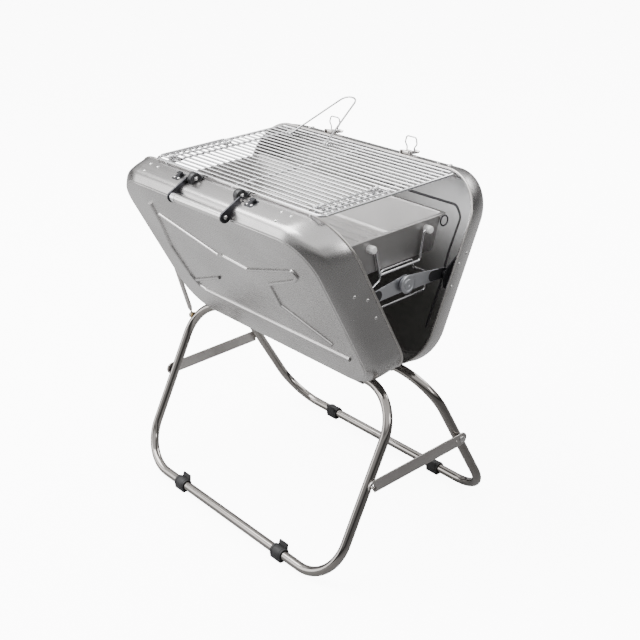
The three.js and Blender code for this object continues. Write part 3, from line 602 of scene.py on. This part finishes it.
piece("brace_stud_right", [brace_stud(False)], "rear_legs", BRIGHT, "black", ("brace_pivot_right",))
piece("brace_knob_left", [turn_round(brace_stud(True))], "front_legs", BLACK, "black", ("brace_pivot_left",))

# ---- strut ----
STRUT_X = -216.8
strut_top = on_shell(FRONT, STRUT_X, 152, 18)
strut_foot = half_turn @ leg_point(0, 31)
strut_foot.x = STRUT_X
strut_axis = (strut_top - strut_foot).normalized()
strut_length = (strut_top - strut_foot).length


def strut():
    sleeve = [(0, 9), (2, 9), (3.3, 14), (3.4, 15), (3.4, 96), (3.7, 97),
              (3.7, 102), (3.2, 103.5), (2.2, 103.5), (2.2, 100)]
    eye = ring(strut_foot, X, 4.6, 2.4, 1.6)
    neck = tube([strut_foot + strut_axis * 4, strut_foot + strut_axis * 10], 1.3, 10)
    piece("strut_sleeve", [turned(sleeve, strut_foot, strut_axis), eye, neck], "strut_lower", BAND, "brushed",
          ("strut_tube",))
    tip = strut_length - 3
    rod = turned([(0, 72), (2.1, 72), (2.1, tip - 3), (1.2, tip), (0, tip)], strut_foot, strut_axis)
    top_eye = ring(strut_top, X, 4.8, 2.6, 1.6)
    piece("strut_piston", [rod, top_eye], "strut_upper", TUBE, "polished", ("strut_rod",))
    bolt_shape = [(0, -3), (2.1, -3), (2.1, 1.2), (5.2, 1.2), (5.2, 3.4), (3.6, 4.6), (0, 4.9)]
    bolt = turned(bolt_shape, strut_foot, -X, 6)
    washer = turned([(0, -5), (6, -5), (6, -3.6), (0, -3.6)], strut_foot, -X)
    piece("strut_bolt_head", [bolt, washer], "strut_lower", BRASS, "brass", ("strut_bolt",), bevel=0.3)
    stud_shape = [(0, -8), (4, -8), (4, -1.6), (2.2, -1.6), (2.2, 1.4), (3.8, 1.4), (3, 2.6), (0, 3)]
    stud = turned(stud_shape, strut_top, -X)
    piece("strut_stud", [stud], "front_case", BRIGHT, "brushed")


strut()

# ---- elbow stays ----
STAY_X = 193
STAY_T = 2
stay_rear = on_shell(REAR, 0, 137, 5.4)
hub_z = stay_rear.z + stay_rear.y * math.tan(math.radians(4.3))


def arm_outline(y0, z0, r0, y1, z1, r1):
    """A bar from (y0, z0) to (y1, z1), round at both ends."""
    a = math.degrees(math.atan2(z1 - z0, y1 - y0))
    return arc((y0, z0), r0, a + 90, a + 270, 12) + arc((y1, z1), r1, a - 90, a + 90, 20)


HUB_SHAPE = [
    (0, 0), (3, 0), (3, 8), (11.6, 8), (12, 8.5), (12, 9.4), (11.2, 10),
    (8.6, 10), (8.3, 9.6), (6.6, 9.6), (6.2, 10.2), (2.6, 10.4), (2.2, 10.1), (0, 10.1),
]


def stays(side_name, sign, letter):
    def at(x):
        return Vector((sign * x, 0, 0))

    u = Y
    hub = Vector((0, 0, hub_z))
    front_bar = arm_outline(-stay_rear.y, stay_rear.z, 6.4, 0, hub_z, 10.5)
    rear_bar = arm_outline(stay_rear.y, stay_rear.z, 6.4, 0, hub_z, 10.5)
    front_part = [
        plate(front_bar, STAY_T, u, Z, at(STAY_X + 1), [circle((-stay_rear.y, stay_rear.z), 2.9, 18)]),
        turned(HUB_SHAPE, hub + at(STAY_X - 1.6), at(1), 40),
        turned([(0, 0), (5, 0), (5, 1.4), (0, 1.4)], hub + at(STAY_X - 1.2), at(1)),
    ]
    rear_part = [plate(rear_bar, STAY_T, u, Z, at(STAY_X + STAY_T + 2), [circle((0, hub_z), 3.3, 18)])]
    for y, x, part in ((-1, STAY_X + 1, "front"), (1, STAY_X + STAY_T + 2, "rear")):
        near_end = (y * stay_rear.y * 0.7, lerp(hub_z, stay_rear.z, 0.7))
        sock = arm_outline(*near_end, 6.9, y * stay_rear.y, stay_rear.z, 6.9)
        hole = [circle((y * stay_rear.y, stay_rear.z), 2.9, 18)] if y < 0 else []
        piece(f"stay_{part}_{side_name}_end", [plate(sock, STAY_T + 0.3, u, Z, at(x), hole)],
              f"stay_{part}_{letter}", BLACK, "black")
    piece(f"stay_front_{side_name}_bar", front_part, f"stay_front_{letter}", STAY, "brushed",
          (f"stay_arm_front_{side_name}",), angle=40)
    piece(f"stay_rear_{side_name}_bar", rear_part, f"stay_rear_{letter}", STAY, "brushed",
          (f"stay_arm_rear_{side_name}",), angle=40)


stays("left", -1, "l")
stays("right", 1, "r")

# ---- charcoal tray ----
def tray_ring(half_x, half_y, z, r=4):
    corners = [(half_x, half_y, z), (-half_x, half_y, z), (-half_x, -half_y, z), (half_x, -half_y, z)]
    return rounded(corners, r, 4)


def tray():
    def width(z):
        return lerp(TRAY_LOW_Y, TRAY_HALF_Y, (z - TRAY_LOW) / (TRAY_TOP - TRAY_LOW))
    skin = 1.2
    low = TRAY_LOW + skin
    stations = [
        tray_ring(TRAY_HALF_X - 4, TRAY_LOW_Y - 4, TRAY_LOW),
        tray_ring(TRAY_HALF_X - 1, TRAY_LOW_Y - 1, TRAY_LOW + 0.8),
        tray_ring(TRAY_HALF_X, width(TRAY_LOW + 4), TRAY_LOW + 4),
        tray_ring(TRAY_HALF_X, width(TRAY_TOP - 3), TRAY_TOP - 3),
        tray_ring(TRAY_HALF_X + 3.4, TRAY_HALF_Y + 3, TRAY_TOP - 2.6),
        tray_ring(TRAY_HALF_X + 3.4, TRAY_HALF_Y + 3.4, TRAY_TOP - 0.6),
        tray_ring(TRAY_HALF_X + 2.4, TRAY_HALF_Y + 2.6, TRAY_TOP),
        tray_ring(TRAY_HALF_X - 1, TRAY_HALF_Y - 1, TRAY_TOP),
        tray_ring(TRAY_HALF_X - 1.6, width(TRAY_TOP - 4) - skin, TRAY_TOP - 2),
        tray_ring(TRAY_HALF_X - skin, width(low + 4) - skin, low + 4),
        tray_ring(TRAY_HALF_X - skin - 1, TRAY_LOW_Y - skin - 1, low + 0.8),
        tray_ring(TRAY_HALF_X - skin - 4, TRAY_LOW_Y - skin - 4, low),
    ]
    count = len(stations[0])
    points = [p for station in stations for p in station]
    faces = []
    for i in range(len(stations) - 1):
        for k in range(count):
            m = (k + 1) % count
            faces.append((i * count + k, i * count + m, (i + 1) * count + m, (i + 1) * count + k))
    faces.append(tuple(reversed(range(count))))
    faces.append(tuple((len(stations) - 1) * count + k for k in range(count)))
    parts = [(points, faces)]
    ribs = 7
    for i in range(ribs):
        y = lerp(-TRAY_LOW_Y + 14, TRAY_LOW_Y - 14, i / (ribs - 1))
        ends = [Vector((-TRAY_HALF_X + 12, y, low)), Vector((TRAY_HALF_X - 12, y, low))]
        parts.append(ridge(ends, 3.2, 2, Z))
    ferrules = []
    for sign in (-1, 1):
        for y in (-48, 48):
            boss = [(0, -1), (5, -1), (5, 8.2), (4, 9.6), (2.4, 10), (0, 10)]
            ferrules.append(turned(boss, Vector((sign * TRAY_HALF_X, y, 434)), sign * X))
    piece("tray_pan", parts, "charcoal_tray", TRAY, "bright", ("tray",), angle=40)
    piece("tray_ferrules", ferrules, "charcoal_tray", FERRULE, "bright", angle=40)


tray()
ring_path = [Vector((TRAY_HALF_X + 1, 80 + y, 436 + z)) for y, z in circle((0, 0), 6.5, 28)]
piece("tray_corner_ring", [tube(ring_path, 1, 8, True)], "charcoal_tray", GUNMETAL, "bright", angle=60)
BAIL_X = TRAY_HALF_X + 3.4
for side_name, sign, letter in (("left", -1, "l"), ("right", 1, "r")):
    bail = [(-46, 434), (-41, 434), (-34, 397), (34, 397), (41, 434), (46, 434)]
    path = rounded([Vector((sign * BAIL_X, y, z)) for y, z in bail], 4, 6, False)
    piece(f"tray_drop_handle_{side_name}", [tube(path, 1.7, 12)], f"bail_{letter}", WIRE, "wire",
          (f"tray_bail_{side_name}",), angle=60)
    hoop = [(28, 399), (28, 388), (50, 376), (50, 351), (-50, 351), (-50, 376), (-28, 388), (-28, 399)]
    path = rounded([Vector((sign * (TRAY_HALF_X - 2.2), y, z)) for y, z in hoop], 5, 6)
    piece(f"tray_hoop_{side_name}", [tube(path, 1.5, 12, True)], "charcoal_tray", WIRE, "wire",
          (f"tray_stand_{side_name}",), angle=60)

# ---- cooking grate ----
RODS = 23
HANDLE_X = (-102, -18)
HANDLE_Y = 68.5
SIDE_Y = (-116, -12)
SIDE_X = {"left": -125, "right": 163}
SIDE_REACH = 18
HANDLE_WIRE = 1.25


def grate():
    pitch = (GRATE_Y[1] - GRATE_Y[0]) / (RODS - 1)
    corners = [Vector((GRATE_X[i], GRATE_Y[j], GRATE_Z)) for i, j in ((0, 0), (1, 0), (1, 1), (0, 1))]
    parts = [tube(rounded(corners, 8, 8), 1.8, 12, True)]
    for i in range(1, RODS - 1):
        y = GRATE_Y[0] + i * pitch
        parts.append(tube([Vector((x, y, GRATE_Z)) for x in GRATE_X], ROD_R, 10))
    for x in (SIDE_X["left"], 18, SIDE_X["right"]):
        parts.append(tube([Vector((x, y, GRATE_Z - 2.4)) for y in GRATE_Y], ROD_R, 10))
    for x in HANDLE_X:
        parts.append(ring(Vector((x, HANDLE_Y, EYE_Z)), X, 3, HANDLE_WIRE + 0.3, 2.6, 18))
    for x in SIDE_X.values():
        for y in (SIDE_Y[0] + 10, SIDE_Y[1] - 10):
            parts.append(ring(Vector((x, y, EYE_Z)), Y, 3, HANDLE_WIRE + 0.3, 7, 18))
    piece("grate_wires", parts, "cooking_grate", WIRE, "wire", ("grate",), angle=60)


def grate_handles():
    lean = math.radians(26.6)
    length = 93.4
    mid = (HANDLE_X[0] + HANDLE_X[1]) / 2

    def at(x, u):
        return Vector((x, HANDLE_Y + u * math.cos(lean), EYE_Z + u * math.sin(lean)))
    corners = [at(HANDLE_X[0] - 5, 0), at(HANDLE_X[0] + 5, 0), at(mid - 12, length), at(mid + 12, length),
               at(HANDLE_X[1] - 5, 0), at(HANDLE_X[1] + 5, 0)]
    path = rounded(corners, [0, 2, 13, 13, 2, 0], 8, False)
    parts = [tube(path, HANDLE_WIRE, 12)]
    for x, shift in ((HANDLE_X[0], 6), (HANDLE_X[1], -6)):
        parts.append(coil(Vector((x + shift, HANDLE_Y, EYE_Z)), X, 2.2, 0.8, 6, 3))
    piece("grate_lifting_loop", parts, "back_handle", WIRE, "wire", ("grate_handle",), angle=60)
    for side_name, sign, letter in (("left", -1, "l"), ("right", 1, "r")):
        x = SIDE_X[side_name]
        reach = x + sign * SIDE_REACH
        corners = [Vector((a, b, EYE_Z)) for a, b in
                   ((x, SIDE_Y[0]), (reach, SIDE_Y[0]), (reach, SIDE_Y[1]), (x, SIDE_Y[1]))]
        parts = [tube(rounded(corners, 3, 6), HANDLE_WIRE, 12, True)]
        for y in (SIDE_Y[0] + 4, SIDE_Y[1] - 4):
            parts.append(coil(Vector((x, y, EYE_Z)), Y, 2.2, 0.8, 5, 3))
        piece(f"grate_end_loop_{side_name}", parts, f"side_handle_{letter}", WIRE, "wire",
              (f"grate_side_handle_{side_name}",), angle=60)


grate()
grate_handles()

# ---- latches, keepers and carry handle ----
LATCH_X = 75
CARRY_X = 47
CARRY_SHIFT = 4
LUG_D = 16
LUG_S = 270.5
LUG_R = 8
GRIP_D = 50.5
GRIP_S = 267


def top_plate(side, x, half, d0, d1, thick, lift=0.0):
    """A plate lying on the top wall of a shell."""
    slope = (on_shell(side, 0, wall_high(d1), d1) - on_shell(side, 0, wall_high(d0), d0)).normalized()
    up = X.cross(slope) * (1 if side == REAR else -1)
    origin = on_shell(side, x, wall_high(d0), d0) + up * (0.2 + lift + thick / 2)
    length = d1 - d0
    outline = [tuple(p) for p in rounded([(-half, 0), (half, 0), (half, length), (-half, length)], 2, 4)]
    return plate([(p[0], p[1]) for p in outline], thick, X, slope, origin), up, slope


# The latch lever's pin and the wire's pin, as (s, d) on the rear shell.
LEVER_PIN = (268.6, 7)
WIRE_PIN = (271, 14)


def latch(side_name, x, letter):
    base, up, slope = top_plate(REAR, x, 9, 3, 26, 1)
    seat = on_shell(REAR, x, wall_high(3), 3) + up * 1.2
    ears = [block((s - 0.7, 1, 0), (s + 0.7, 8, 5), X, slope, up, seat) for s in (-8.3, 8.3)]
    pin = tube([on_shell(REAR, x + a, *LEVER_PIN) for a in (-9.4, 9.4)], 1.1, 12)
    piece(f"latch_plate_{side_name}", [base, *ears, pin], "rear_case", BAND, "brushed",
          (f"latch_base_{side_name}",), bevel=0.3)
    heads = [rivet(seat + slope * 18 + X * s, up, 1.9, 1) for s in (-5, 5)]
    piece(f"latch_rivets_{side_name}", heads, "rear_case", BRIGHT, "brushed")
    out, high = shell_out(REAR), shell_up(REAR)
    profile = [(7, 268.1), (17, 269.2), (26, 272.6), (27, 276),
               (25.6, 276.4), (24.6, 274), (17, 272.6), (7, 270.6)]
    origin = Vector((x, 0, HINGE_Z))
    lever = [plate(profile, 9.6, out, high, origin, edge=0.4)]
    lever.append(ring(on_shell(REAR, x, *LEVER_PIN), X, 2.6, 1.3, 9.6, 18))
    lever.append(ring(on_shell(REAR, x, *WIRE_PIN), X, 2.2, 1.1, 9.6, 18))
    piece(f"latch_toggle_{side_name}", lever, f"lever_{letter}", BAND, "brushed",
          (f"latch_lever_{side_name}",))
    lean = TILT - math.radians(6)
    shape = [(-6.6, 0), (-6.6, 6), (-10.6, 11.5), (-8.6, 20), (8.6, 20), (10.6, 11.5), (6.6, 6), (6.6, 0)]
    s, d = WIRE_PIN
    corners = [on_shell(REAR, x + a, s + u * math.cos(lean), d - u * math.sin(lean)) for a, u in shape]
    path = rounded(corners, [0.9, 3, 3, 4, 4, 3, 3, 0.9], 6)
    piece(f"latch_loop_wire_{side_name}", [tube(path, 0.95, 10, True)], f"loop_{letter}", LOOP, "wire",
          (f"latch_bail_{side_name}",), angle=60)


def keeper(side_name, x):
    base, up, slope = top_plate(FRONT, x, 7, 12, 27, 1)
    seat = on_shell(FRONT, x, wall_high(12), 12) + up * 1.2
    post = block((-4, 2, 0), (4, 3.4, 4), X, slope, up, seat)
    lip = block((-4, 2, 3), (4, 7, 4.2), X, slope, up, seat)
    piece(f"keeper_{side_name}", [base, post, lip], "front_case", GUNMETAL, "gunmetal",
          (f"latch_keeper_{side_name}",), bevel=0.3)
    heads = [rivet(seat + slope * 11 + X * s, up, 1.8, 1) for s in (-4, 4)]
    piece(f"keeper_rivets_{side_name}", heads, "front_case", BRIGHT, "brushed")


# The pin between a lug and its link, as (d, s) on the front shell.
LINK_PIN = (22, 270.8)


def carry_handle():
    """Two black lugs on the top wall, a pair of black links and a bright tube between them."""
    out, high = shell_out(FRONT), shell_up(FRONT)
    for side_name, x in (("left", -CARRY_X), ("right", CARRY_X)):
        origin = Vector((x + CARRY_SHIFT, 0, HINGE_Z))
        foot_high = wall_high(LUG_D) + 0.4
        lug_top = arc((LUG_D, LUG_S), LUG_R, 172, 8, 18)
        lug = [(LUG_D - 9.5, foot_high - 1.4), *lug_top, (LUG_D + 10, foot_high + 1.4)]
        sole = block((-7, LUG_D - 10, 0), (7, LUG_D + 10, 1.4), X, out, high, origin + high * foot_high)
        cover = plate(lug, 9, out, high, origin, edge=1.6)
        piece(f"carry_cover_{side_name}", [cover, sole], "front_case", BLACK, "gunmetal",
              (f"carry_cap_{side_name}",))
        centre = origin + out * LUG_D + high * LUG_S
        piece(f"carry_cover_rivet_{side_name}", [rivet(centre + X * 4.3, X, 3, 1.5)], "front_case",
              BRIGHT, "gunmetal")
        sign = 1 if x > 0 else -1
        link_x = X * (sign * 7.6)
        link = arm_outline(*LINK_PIN, 4, GRIP_D, GRIP_S, 7.4)
        piece(f"carry_link_{side_name}", [plate(link, 2.6, out, high, origin + link_x)], "carry_handle",
              GUNMETAL, "gunmetal", (f"carry_arm_{side_name}",), bevel=0.4)
        hole = origin + out * LINK_PIN[0] + high * LINK_PIN[1]
        pin = tube([hole + X * (sign * u) for u in (3, 9.4)], 2, 12)
        piece(f"carry_link_pin_{side_name}", [pin], "carry_handle", BRIGHT, "gunmetal")
        end = origin + out * GRIP_D + high * GRIP_S
        piece(f"carry_end_rivet_{side_name}", [rivet(end + link_x + X * (sign * 1.2), X * sign, 2.6, 1.4)],
              "carry_handle", BRIGHT, "gunmetal")
    start = Vector((CARRY_SHIFT - CARRY_X - 6.2, 0, HINGE_Z)) + out * GRIP_D + high * GRIP_S
    length = 2 * CARRY_X + 12.4
    profile = [(0, 0), (5.4, 0), (5.7, 0.4), (5.7, length - 0.4), (5.4, length), (0, length)]
    grip = turned(profile, start, X, 40)
    sleeve = turned([(5.8, 0.6), (6.1, 0.6), (6.1, 9), (5.8, 9)], start, X, 40)
    piece("carry_tube", [grip], "carry_handle", BRIGHT, "polished", ("carry_grip",))
    piece("carry_tube_sleeve", [sleeve], "carry_handle", WIRE, "polished")


latch("left", -LATCH_X, "l")
latch("right", LATCH_X, "r")
keeper("left", -LATCH_X)
keeper("right", LATCH_X)
carry_handle()


# ---- rivets on the shells ----
def shell_rivets(side):
    name = "front" if side == FRONT else "rear"
    up = shell_up(side)
    heads = []
    for sign in (-1, 1):
        for s, d in ((169, 24), (154, 12), (124, 12)):
            spot = on_shell(side, sign * (wall_half(d) + 0.6), s, d)
            heads.append(rivet(spot, sign * X + shell_out(side) * 0.28))
        for x, d in ((sign * 136 - 10, 15), (sign * 136 + 8, 16), (sign * 136 - 2, 31)):
            heads.append(rivet(on_shell(side, x, wall_high(d) + 0.6, d), up - shell_out(side) * 0.2))
    piece(f"{name}_rivets", heads, f"{name}_case", BRIGHT, "brushed")


shell_rivets(FRONT)
shell_rivets(REAR)
for side, name in ((FRONT, "front"), (REAR, "rear")):
    pressing(side, f"{name}_bead", BEAD, *BEAD_SIZE, 8)
    for i, line in enumerate(STAR):
        pressing(side, f"{name}_star_{i}", line, *STAR_SIZE, 3)
# A thin near-black ridge along the pressed line on the inside of each face: painted shade.
for side, name in ((FRONT, "front"), (REAR, "rear")):
    inner_line = [on_shell(side, side * x, s, FACE_D - SHEET) for x, s in
                  ((-60, 223), (151, 223), (164, 210), (163, 165), (167, 118), (167, 60))]
    groove = ridge(rounded(inner_line, 14, 8, False), 1.9, 0.8, -shell_out(side))
    piece(f"{name}_inner_line", [groove], f"{name}_case", PAINTED_SHADE_LINE, "brushed", angle=80)


# ---- CAD nodes shown as they are ----
LOOKS = {
    "hinge_leaf": BAND, "hinge_pin": TUBE, "leg_clip": GUNMETAL, "stay_bracket": BLACK, "grate_rest": TRAY,
}
for name, obj in node.items():
    for start, look in LOOKS.items():
        if name.startswith(start):
            obj.data.materials.clear()
            obj.data.materials.append(look)


# ---- stage ----
# The floor's tone in reflections, from low X to high X: painted shade on the right side of the steel.
FLOOR_REFLECTED = (0.34, 0.12)
FLOOR_GLOW = 9


def studio():
    """A white floor and soft light from above. The steel reflects a darker floor than the camera sees, darker
    towards +X: painted shade.
    """
    floor_look = shader("floor_white", (0.93, 0.93, 0.93), 0.9, Specular_IOR_Level=0.0)
    bsdf = floor_look.node_tree.nodes["Principled BSDF"]
    seen = add(floor_look, "ShaderNodeLightPath")
    shade = add(floor_look, "ShaderNodeMix")
    shade.data_type = "RGBA"
    where = add(floor_look, "ShaderNodeTexCoord")
    split = add(floor_look, "ShaderNodeSeparateXYZ")
    reflected_shade = add(floor_look, "ShaderNodeMapRange", From_Min=0.08, From_Max=0.45)
    reflected_shade.inputs["To Min"].default_value, reflected_shade.inputs["To Max"].default_value = FLOOR_REFLECTED
    link(
        floor_look,
        (where.outputs["Object"], split.inputs["Vector"]),
        (split.outputs["X"], reflected_shade.inputs["Value"]),
        (reflected_shade.outputs["Result"], shade.inputs[6]),
    )
    shade.inputs[7].default_value = (0.95, 0.95, 0.95, 1)
    glow = add(floor_look, "ShaderNodeMath")
    glow.operation = "MULTIPLY"
    glow.inputs[1].default_value = FLOOR_GLOW
    bsdf.inputs["Emission Color"].default_value = (1, 1, 1, 1)
    link(
        floor_look,
        (seen.outputs["Is Camera Ray"], shade.inputs[0]),
        (seen.outputs["Is Camera Ray"], glow.inputs[0]),
        (shade.outputs[2], bsdf.inputs["Base Color"]),
        (glow.outputs["Value"], bsdf.inputs["Emission Strength"]),
    )
    size = 12
    mesh = bpy.data.meshes.new("floor")
    corners = [(a * size, b * size, 0) for a, b in ((-1, -1), (1, -1), (1, 1), (-1, 1))]
    mesh.from_pydata(corners, [], [(0, 1, 2, 3)])
    mesh.materials.append(floor_look)
    floor = bpy.data.objects.new("floor", mesh)
    bpy.context.scene.collection.objects.link(floor)
    world = bpy.data.worlds.new("studio")
    bpy.context.scene.world = world
    world.use_nodes = True
    coords = add(world, "ShaderNodeTexCoord")
    split = add(world, "ShaderNodeSeparateXYZ")
    sky = add(world, "ShaderNodeValToRGB")
    stops = sky.color_ramp.elements
    stops[0].position = 0.0
    stops[0].color = (0.10, 0.10, 0.10, 1)
    stops[1].position = 1.0
    stops[1].color = (1.7, 1.7, 1.7, 1)
    for position, level in ((0.12, 0.12), (0.3, 1.1), (0.42, 0.4), (0.6, 2.1)):
        stop = stops.new(position)
        stop.color = (level, level, level, 1)
    link(
        world,
        (coords.outputs["Generated"], split.inputs["Vector"]),
        (split.outputs["Z"], sky.inputs["Fac"]),
        (sky.outputs["Color"], world.node_tree.nodes["Background"].inputs["Color"]),
    )
    world.node_tree.nodes["Background"].inputs["Strength"].default_value = 0.8
    aims = Vector((0, 0, 0.3))
    for name, place, size, power in (
        ("key", (-0.9, -0.9, 2.4), 1.8, 105),
        ("right", (2.2, 0.6, 1.3), 0.7, 12),
        ("back", (0.2, 2.2, 1.8), 1.2, 30),
        ("front", (-2.0, -2.1, 0.95), 1.7, 34),
    ):
        light = bpy.data.lights.new(name, "AREA")
        light.size = size
        light.energy = power
        lamp = bpy.data.objects.new(name, light)
        lamp.location = place
        lamp.rotation_euler = (aims - Vector(place)).to_track_quat("-Z", "Y").to_euler()
        bpy.context.scene.collection.objects.link(lamp)


def camera():
    eye = Vector((1019.2, -841.5 + MIDDLE_Y, 889.1)) * MM
    target = Vector((15.1, 16.6 + MIDDLE_Y, 263.4)) * MM
    roll = math.radians(-1.8)
    forward = (target - eye).normalized()
    right = forward.cross(Z).normalized()
    up = right.cross(forward)
    across = right * math.cos(roll) + up * math.sin(roll)
    top = up * math.cos(roll) - right * math.sin(roll)
    data = bpy.data.cameras.new("camera")
    data.lens = 59.3
    data.sensor_width = 36
    data.clip_end = 50
    obj = bpy.data.objects.new("camera", data)
    rotation = Matrix((across, top, -forward)).transposed().to_4x4()
    obj.matrix_world = Matrix.Translation(eye) @ rotation
    bpy.context.scene.collection.objects.link(obj)
    bpy.context.scene.camera = obj


studio()
camera()
bpy.context.view_layer.update()
